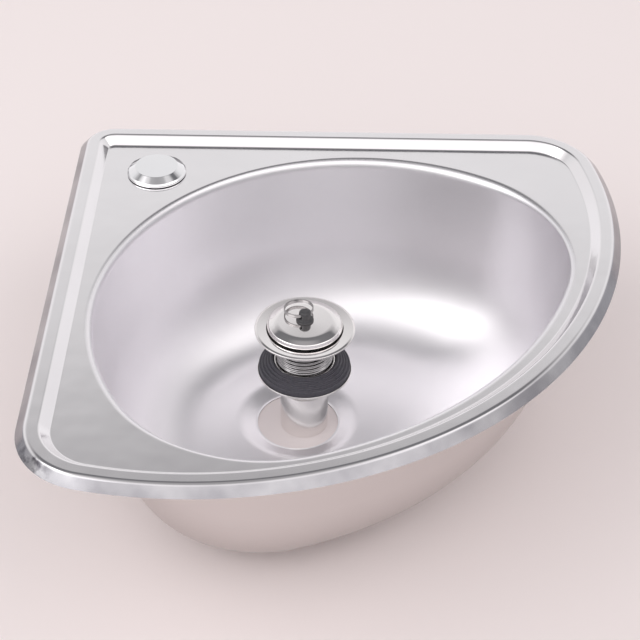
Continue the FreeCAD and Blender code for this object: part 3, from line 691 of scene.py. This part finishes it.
def basin():
    """The pressed sheet as rows of points from the lip's edge in to the drain hole, with its thickness below.

    Rows follow three families of outlines: the rim's drawn in from the lip, the bowl's drawn in from its
    opening, and circles round the drain. On the flat deck they go evenly from the rim's to the bowl's.
    """
    form = BowlForm()
    outline, inward = rim_outline()
    section = filleted([
        (0, TOP - LIP_DROP, 0),
        (LIP_WIDTH, TOP, LIP_RADIUS),
        (LIP_WIDTH + RIM_FLAT_WIDTH, TOP, STEP_FOLD),
        (RIM_WIDTH, DECK, STEP_FOOT),
        (RIM_WIDTH + DECK_MARGIN, DECK, 0),
    ], steps=7)
    rim = [at_height(outline + inward * inset, height) for inset, height in section]
    bowl = bowl_rows(form, form.directions(on_diagonal(rim[-1][:, :2])))
    shares = np.linspace(0, 1, DECK_ROWS + 1)[1:-1]
    deck = [rim[-1] + share * (bowl[0] - rim[-1]) for share in shares]
    recess = recess_rows(form, bowl[-1])
    points = np.array(rim + deck + bowl + recess)
    vertices, faces = with_tap_hole(points, len(rim) - 1)
    mesh = smooth_mesh("pressed_basin", vertices, faces)

    fading = np.maximum(0, 1 - np.arange(len(bowl)) / POLISH_ROWS)
    polish_of_row = np.concatenate([np.ones(len(rim) + len(deck)), fading, np.zeros(len(recess))])
    polish = np.ones(len(vertices))
    polish[:polish_of_row.size * len(outline)] = np.repeat(polish_of_row, len(outline))
    on_lip = np.clip(LIP_FADE * (1 - section[:, :1] / LIP_WIDTH), 0, 1)
    facing = np.exp((inward @ [math.cos(MARK_BEARING), math.sin(MARK_BEARING)] - 1) / MARK_SPREAD)
    # The lip's rows carry the mask of the painted shade as "edge".
    edge = np.zeros(len(vertices))
    edge[:len(rim) * len(outline)] = np.repeat(on_lip, len(outline))
    marked = np.zeros(len(vertices))
    marked[:len(rim) * len(outline)] = (on_lip * facing).ravel()
    for name, values in (("polish", polish), ("edge", edge), ("marked", marked)):
        carry(mesh, name, values)
    return thickened(mesh, SHEET)


place("pressed_basin", basin(), "basin_shell")

# Tap hole cap and its clamp

CAP_RIM = 0.0012
CAP_RIM_ROUND = 0.0009
CAP_SHOULDER = 0.0012
CAP_BEVEL = 0.005
CAP_SHEET = 0.0008
cap_radius, cap_low, cap_high = span("tap_cap")
cap_top = cap_radius - CAP_SHOULDER - CAP_BEVEL
round_piece("polished_cap", "tap_cap", TAP_AXIS, [
    (0, cap_high - CAP_SHEET, 0),
    (cap_top - CAP_SHEET, cap_high - CAP_SHEET, EASED),
    (cap_radius - CAP_SHOULDER - 2 * CAP_SHEET, cap_low + CAP_RIM + CAP_SHOULDER - CAP_SHEET, DULLED),
    (TAP_HOLE_RADIUS, cap_low, BROKEN),
    (cap_radius, cap_low, BROKEN),
    (cap_radius, cap_low + CAP_RIM, CAP_RIM_ROUND),
    (cap_radius - CAP_SHOULDER, cap_low + CAP_RIM + CAP_SHOULDER, ROLLED),
    (cap_top, cap_high, SOFT),
    (0, cap_high, 0),
], steps=8)


def washer(name, node, axis, bore, rounding):
    """A flat ring with softened edges between a CAD node's lowest and highest faces."""
    radius, low, high = span(node)
    round_piece(name, node, axis, [
        (bore, low, rounding),
        (radius, low, rounding),
        (radius, high, rounding),
        (bore, high, rounding),
    ], steps=4)


STUD_HOLE = 0.0033
STUD_PITCH = 0.001
STUD_ROOT = 0.0026
washer("cap_gasket_ring", "tap_gasket", TAP_AXIS, TAP_HOLE_RADIUS, BROKEN)
washer("clamp_pad_ring", "tap_clamp_pad", TAP_AXIS, TAP_HOLE_RADIUS, SOFT)
washer("clamp_plate_disc", "tap_clamp_plate", TAP_AXIS, STUD_HOLE, EASED)
stud_radius, stud_low, stud_high = span("tap_stud")
stud = threaded(TAP_AXIS, stud_low, stud_high, stud_radius, STUD_ROOT, STUD_PITCH, columns=40)
place("threaded_stud", smooth_mesh("threaded_stud", *stud), "tap_stud")

HUB_RADIUS = 0.0065
HUB_HEIGHT = 0.008
HUB_CHAMFER = 0.001
WING_THICKNESS = 0.0024
WING_ROUNDING = 0.45


def rounded_block(middle, half):
    """A block with softened edges: x, y and z are each half size times powers of sines and cosines.

    Across a and along b, x = cos b cos a, z = cos b sin a and y = sin b, each raised to WING_ROUNDING.
    """
    across = np.linspace(0, 2 * math.pi, BLOCK_COLUMNS, endpoint=False)[None]
    along = np.linspace(-math.pi / 2, math.pi / 2, BLOCK_ROWS)[:, None]

    def eased(value):
        """A sine or cosine raised to the block's power, with its sign."""
        return np.sign(value) * np.abs(np.where(np.abs(value) < NOTHING, 0, value)) ** WING_ROUNDING

    grid = np.stack([eased(np.cos(along)) * eased(np.cos(across)), eased(np.sin(along)) + 0 * across,
                     eased(np.cos(along)) * eased(np.sin(across))], axis=-1)
    points = np.array(middle) + grid * np.array(half)
    return points.reshape(-1, 3), quads(BLOCK_ROWS, BLOCK_COLUMNS)


def wing_nut():
    """A turned hub with two upright wings."""
    reach, low, high = span("tap_wing_nut")
    hub_low = high - HUB_HEIGHT
    parts = [revolved([
        (STUD_HOLE, hub_low, DULLED),
        (HUB_RADIUS - HUB_CHAMFER, hub_low, DULLED),
        (HUB_RADIUS, hub_low + HUB_CHAMFER, FULL),
        (HUB_RADIUS, high, EASED),
        (STUD_HOLE, high, BROKEN),
    ], TAP_AXIS, columns=72)]
    near = HUB_RADIUS - HUB_CHAMFER
    half = ((reach - near) / 2, WING_THICKNESS / 2, (high - HUB_CHAMFER - low) / 2)
    for side in (-1, 1):
        middle = (TAP_AXIS[0] + side * (reach + near) / 2, TAP_AXIS[1], low + half[2])
        parts.append(rounded_block(middle, half))
    starts = np.cumsum([0] + [len(points) for points, _ in parts[:-1]])
    vertices = np.vstack([points for points, _ in parts])
    faces = np.vstack([numbers + start for (_, numbers), start in zip(parts, starts)])
    place("wing_nut", smooth_mesh("wing_nut", vertices, faces), "tap_wing_nut")


wing_nut()

# Waste, from the tail pipe up to the flange

PIPE_WALL = 0.001
THROAT_GAP = 0.00005
THROAT_WALL = 0.001
THROAT_ROUND = 0.001
CUP_RISE = 0.006
CUP_ROUND = 0.003
CUP_INSIDE_ROUND = 0.002
SOCKET_BORE = 0.02075
SOCKET_WALL = 0.0015
COLLAR_SHEET = 0.001
COLLAR_BEND = 0.0025
COLLAR_LIP = 0.0008
COLLAR_LIP_ROUND = 0.00038
pipe_radius, pipe_low, pipe_high = span("tail_pipe")
pipe_bore = pipe_radius - PIPE_WALL
round_piece("tail_tube", "tail_pipe", WASTE_AXIS, [
    (pipe_bore, pipe_low, DULLED),
    (pipe_radius, pipe_low, EASED),
    (pipe_radius, pipe_high, HAIRLINE),
    (pipe_bore, pipe_high, HAIRLINE),
])
collar_radius, collar_low, collar_high = span("tail_collar")
gasket_radius, gasket_low, gasket_high = span("clamp_gasket")
throat = pipe_bore - THROAT_GAP
socket = SOCKET_BORE + SOCKET_WALL
cup_floor = pipe_high + CUP_RISE
round_piece("spun_collar", "tail_collar", WASTE_AXIS, [
    (throat - THROAT_WALL, collar_low, BROKEN),
    (throat, collar_low, BROKEN),
    (throat, pipe_high, 0),
    (pipe_radius, pipe_high, EASED),
    (socket, cup_floor, CUP_ROUND),
    (socket, gasket_low - COLLAR_SHEET, COLLAR_BEND),
    (collar_radius, gasket_low - COLLAR_SHEET, FULL),
    (collar_radius, gasket_low + COLLAR_LIP, COLLAR_LIP_ROUND),
    (collar_radius - COLLAR_LIP, gasket_low + COLLAR_LIP, COLLAR_LIP_ROUND),
    (collar_radius - COLLAR_LIP, gasket_low, BROKEN),
    (socket, gasket_low, BROKEN),
    (socket, collar_high, SOFT),
    (SOCKET_BORE, collar_high, SOFT),
    (SOCKET_BORE, cup_floor, CUP_INSIDE_ROUND),
    (throat - THROAT_WALL, pipe_high, THROAT_ROUND),
])

GASKET_GAP = 0.0005
GASKET_INSET = 0.001
GASKET_GROOVE = 0.0006
GASKET_EDGE = 0.0052
GASKET_RIBS = 5


def ribbed_gasket():
    """The clamp gasket: its top climbs inwards in even ribs, each with a soft nose and a groove behind."""
    bore = socket + GASKET_GAP
    brim = gasket_radius - GASKET_INSET
    step_out = np.linspace(brim, bore, GASKET_RIBS + 1)
    step_up = np.linspace(gasket_low + GASKET_EDGE, gasket_high, GASKET_RIBS)
    noses = np.stack([step_out[:-1], step_up, np.full(GASKET_RIBS, SOFT)], axis=1)
    roots = np.stack([step_out[1:], step_up - GASKET_GROOVE, np.full(GASKET_RIBS, SOFT)], axis=1)
    steps = np.stack([noses, roots], axis=1).reshape(-1, 3)
    base = [(bore, gasket_low, SOFT), (brim, gasket_low, SOFT)]
    round_piece("ribbed_gasket", "clamp_gasket", WASTE_AXIS, np.vstack([base, steps]), steps=4)


ribbed_gasket()

THREAD_PITCH = 0.0033
THREAD_DEPTH = 0.001
GROOVE_DEPTH = 0.0016
NECK_WALL = 0.0012
NECK_PLAIN = 0.0035
neck_radius, neck_low, neck_high = span("waste_neck")
neck_bore = neck_radius - THREAD_DEPTH - NECK_WALL
neck = threaded(WASTE_AXIS, neck_low, neck_high, neck_radius, neck_radius - GROOVE_DEPTH, THREAD_PITCH,
                columns=128, plain=NECK_PLAIN, bore=neck_bore)
# The neck takes the dark steel of painted shade.
place("screwed_neck", smooth_mesh("screwed_neck", *neck), "waste_neck", FINISHES["neck_shade_steel"])

FLANGE_SHEET = 0.001
FLANGE_EDGE = 0.0015
FLANGE_EDGE_HEIGHT = 0.002
FLANGE_SLOPE = 0.002
FLANGE_FALL = 0.0004
SEAT_WIDTH = 0.0072
SEAL_BORE = 0.0209
flange_radius, flange_low, flange_high = span("waste_flange")
seat_out = neck_bore + SEAT_WIDTH
seat_top = flange_low + FLANGE_SHEET
round_piece("dished_flange", "waste_flange", WASTE_AXIS, [
    (neck_bore, flange_low, BROKEN),
    (seat_out + FLANGE_SHEET / 2, flange_low, BENT),
    (seat_out + FLANGE_SLOPE + FLANGE_SHEET / 2, flange_high - FLANGE_FALL - FLANGE_SHEET, BENT),
    (flange_radius - FLANGE_EDGE, flange_high - FLANGE_EDGE_HEIGHT, DULLED),
    (flange_radius, flange_high - FLANGE_EDGE_HEIGHT, FULL),
    (flange_radius, flange_high - FLANGE_SHEET / 2, SOFT),
    (flange_radius - FLANGE_EDGE, flange_high, ROLLED),
    (seat_out + FLANGE_SLOPE, flange_high - FLANGE_FALL, ROLLED),
    (seat_out, seat_top, BENT),
    (neck_bore, seat_top, EASED),
], columns=192)
washer("seal_ring", "flange_seal", WASTE_AXIS, SEAL_BORE, FULL)

# Stopper and its ring

SHAFT = 0.0021
PLUG_SEAT_INSET = 0.0007
PLUG_GAP = 0.0005
PLUG_TAPER = 0.0015
PLUG_ROUND = 0.001
DOME_SHEET = 0.0008
DOME_RIM = 0.0008
DOME_SHOULDER_WIDTH = 0.006
DOME_SHOULDER_HEIGHT = 0.004
DOME_BEND_WIDTH = 0.001
DOME_BEND_HEIGHT = 0.0022
DOME_ROUND = 0.014
DOME_BEND_ROUND = 0.0014
dome_radius, dome_low, dome_high = span("stopper_cap")
plug_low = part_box("stopper_plug")[0].z
plug_out = seat_out - PLUG_SEAT_INSET
dome_edge = dome_low + DOME_RIM
dome_flat = dome_radius - DOME_SHOULDER_WIDTH
dome_bend = dome_radius - DOME_BEND_WIDTH
bend_height = dome_edge + DOME_BEND_HEIGHT
shoulder_height = dome_edge + DOME_SHOULDER_HEIGHT
dome_inside = [
    (SHAFT, dome_high - DOME_SHEET, HAIRLINE),
    (dome_flat, shoulder_height - DOME_SHEET, DOME_ROUND - DOME_SHEET),
    (dome_bend - DOME_SHEET, bend_height - DOME_SHEET, DOME_BEND_ROUND - DOME_SHEET),
    (dome_radius - DOME_SHEET, dome_edge - DOME_SHEET / 2, BROKEN),
    (dome_radius - DOME_SHEET, dome_low, HAIRLINE),
]
round_piece("plug_body", "stopper_plug", WASTE_AXIS, [
    (SHAFT, plug_low, BROKEN),
    (neck_bore - PLUG_GAP - PLUG_TAPER, plug_low, PLUG_ROUND),
    (neck_bore - PLUG_GAP, seat_top, DULLED),
    (plug_out, seat_top, FULL),
    (plug_out, dome_low, BROKEN),
    *dome_inside[::-1],
])
round_piece("steel_dome", "stopper_cap", WASTE_AXIS, [
    *dome_inside,
    (dome_radius, dome_low, BROKEN),
    (dome_radius, dome_edge, SOFT),
    (dome_bend, bend_height, DOME_BEND_ROUND),
    (dome_flat, shoulder_height, DOME_ROUND),
    (SHAFT, dome_high, HAIRLINE),
], columns=192, steps=12)
washer("plug_washer", "stopper_washer", WASTE_AXIS, SHAFT, DULLED)

SCREW_HEAD = 0.0024
SCREW_RADIUS = 0.002
screw_head, screw_low, screw_high = span("stopper_screw")
round_piece("plug_screw", "stopper_screw", WASTE_AXIS, [
    (0, screw_low, 0),
    (screw_head, screw_low, ROLLED),
    (screw_head, screw_low + SCREW_HEAD, BROKEN),
    (SCREW_RADIUS, screw_low + SCREW_HEAD, HAIRLINE),
    (SCREW_RADIUS, screw_high, DULLED),
    (0, screw_high, 0),
], columns=64)

KNOB_BASE = 0.002
KNOB_RADIUS = 0.0043
KNOB_ROUND = 0.0022
KNOB_HOLE = 0.0023
ring_pivot = np.array(joints["ring_swing"]["pos_m"])
ring_axis = np.array(joints["ring_swing"]["axis"], float)
ring_axis /= np.linalg.norm(ring_axis)


def bored(mesh, middle, direction, radius, length):
    """The mesh with a round hole through a middle point, along a direction."""
    side = np.cross([0, 0, 1], direction)
    axes = np.stack([side, np.cross(direction, side), direction], axis=1)
    points, faces = revolved([
        (0, -length / 2, 0),
        (radius, -length / 2, 0),
        (radius, length / 2, 0),
        (0, length / 2, 0),
    ], (0, 0), columns=48)
    drill = linked("drill", smooth_mesh("drill", points @ axes.T + middle, faces))
    blank = linked("blank", mesh)
    cut = blank.modifiers.new("cross_hole", "BOOLEAN")
    cut.object = drill
    finished = finished_mesh(blank)
    for thing in (drill, blank):
        bpy.data.objects.remove(thing)
    return finished


def stopper_knob():
    """A round-headed knob on a wider foot, bored across for the pull ring."""
    base, low, high = span("stopper_knob")
    vertices, faces = revolved([
        (0, screw_high, 0),
        (SHAFT, screw_high, 0),
        (SHAFT, low, BROKEN),
        (base, low, DULLED),
        (base, low + KNOB_BASE / 2, FULL),
        (KNOB_RADIUS, low + KNOB_BASE, BENT),
        (KNOB_RADIUS, high, KNOB_ROUND),
        (0, high, 0),
    ], WASTE_AXIS, columns=96)
    solid = smooth_mesh("pull_knob", vertices, faces)
    place("pull_knob", bored(solid, ring_pivot, ring_axis, KNOB_HOLE, 4 * KNOB_RADIUS), "stopper_knob")


stopper_knob()

RING_BAND = 0.0026
RING_THICKNESS = 0.0008
RING_ROUND = 0.00036
RING_GROOVE = 0.0003
RING_SLACK = 0.00045
RING_RADIUS = 0.0107
RING_TILT = math.radians(6)


def pull_ring():
    """Two flat coils of wire, one on the other, leaning over the dome from the knob's cross hole."""
    inside = RING_RADIUS - RING_THICKNESS
    vertices, faces = revolved([
        (inside, -RING_BAND / 2, RING_ROUND),
        (RING_RADIUS, -RING_BAND / 2, RING_ROUND),
        (RING_RADIUS, -RING_GROOVE, DULLED),
        (RING_RADIUS - RING_GROOVE, 0, 0),
        (RING_RADIUS, RING_GROOVE, DULLED),
        (RING_RADIUS, RING_BAND / 2, RING_ROUND),
        (inside, RING_BAND / 2, RING_ROUND),
        (inside, RING_GROOVE, DULLED),
        (inside + RING_GROOVE, 0, 0),
        (inside, -RING_GROOVE, DULLED),
    ], (0, 0), columns=128, steps=5)
    heading = np.array([-ring_axis[1], ring_axis[0], 0])
    reach = RING_RADIUS - RING_THICKNESS / 2 - RING_SLACK
    outward = heading * math.cos(RING_TILT) - np.array([0, 0, math.sin(RING_TILT)])
    axes = np.stack([outward, -ring_axis, np.cross(outward, -ring_axis)], axis=1)
    vertices = vertices @ axes.T + ring_pivot + reach * outward
    # The ring takes the darker steel of painted shade.
    place("pull_band", smooth_mesh("pull_band", vertices, faces), "pull_ring", FINISHES["ring_shade_steel"])


pull_ring()
frame["nodes"]["strainer_plate"].data.materials.clear()
frame["nodes"]["strainer_plate"].data.materials.append(FINISHES["plain_steel"])

# Stage, light and camera

floor_mesh = bpy.data.meshes.new("floor")
corners = [(-FLOOR_REACH, -FLOOR_REACH, 0), (FLOOR_REACH, -FLOOR_REACH, 0),
           (FLOOR_REACH, FLOOR_REACH, 0), (-FLOOR_REACH, FLOOR_REACH, 0)]
floor_mesh.from_pydata(corners, [], [(0, 1, 2, 3)])
floor = linked("floor", floor_mesh)
floor_material, floor_recipe = new_finish("pale_floor", metallic=0.0)
floor_recipe.fix("Base Color", (*FLOOR_TONE, 1))
floor_recipe.fix("Roughness", FLOOR_ROUGHNESS)
floor_mesh.materials.append(floor_material)

scene.view_settings.view_transform = "Standard"


def studio():
    """Surroundings of a white-walled studio.

    Towards +Y stands a wall, pale low down and dimmer above; towards -Y hang wide diffusers, brightest three
    quarters of the way up. Between them the tone follows the direction's y, and low down on both sides the
    room is dark.
    """
    world = bpy.data.worlds.new("studio")
    scene.world = world
    room = Recipe(world, "Background")
    sight = room.parts("Generated")
    wall = room.graded(sight["Z"], WALL_TONES)
    diffusers = room.graded(sight["Z"], DIFFUSER_TONES)
    around = room.mixed(room.ranged(sight["Y"], *WALL_TO_DIFFUSERS, easing="SMOOTHSTEP"), wall, diffusers)
    sideways = room.ranged(room.reckoned("ABSOLUTE", sight["X"]), *SIDE_START, easing="SMOOTHSTEP")
    low_down = room.ranged(sight["Z"], *SIDE_HEIGHT, SIDE_SHADE, 0, easing="SMOOTHSTEP")
    shade = room.reckoned("MULTIPLY", sideways, low_down)
    room.feed("Color", room.mixed(shade, around, SIDE_TONE))
    room.fix("Strength", STUDIO_LEVEL)


studio()


def posed(axes, position):
    """The matrix of something whose own x, y and z point along three directions, at a position."""
    matrix = np.eye(4)
    matrix[:3, :3] = np.stack(axes, axis=1)
    matrix[:3, 3] = position
    return Matrix(matrix.tolist())


def softbox(name, position, target, size, power):
    """A rectangular soft light at a position, facing a target."""
    lamp = bpy.data.lights.new(name, "AREA")
    lamp.shape = "RECTANGLE"
    lamp.size, lamp.size_y = size
    lamp.energy = power
    back = np.array(position, float) - np.array(target, float)
    back /= np.linalg.norm(back)
    side = np.cross([0, 1, 0], back)
    side /= np.linalg.norm(side)
    linked(name, lamp).matrix_world = posed([side, np.cross(back, side), back], position)


softbox("left_softbox", SOFTBOX_PLACE, SOFTBOX_TARGET, SOFTBOX_SIZE, SOFTBOX_POWER)

level = np.array([math.cos(CAMERA_YAW), -math.sin(CAMERA_YAW), 0])
flat_ahead = np.array([math.sin(CAMERA_YAW), math.cos(CAMERA_YAW), 0])
ahead = flat_ahead * math.cos(CAMERA_PITCH) - np.array([0, 0, math.sin(CAMERA_PITCH)])
upward = np.cross(level, ahead)
across = level * math.cos(CAMERA_ROLL) + upward * math.sin(CAMERA_ROLL)
over = upward * math.cos(CAMERA_ROLL) - level * math.sin(CAMERA_ROLL)
camera_data = bpy.data.cameras.new("camera")
camera_data.lens = CAMERA_LENS
camera_data.sensor_width = SENSOR_WIDTH
camera = linked("camera", camera_data)
camera.matrix_world = posed([across, over, -ahead], CAMERA_PLACE)
scene.camera = camera
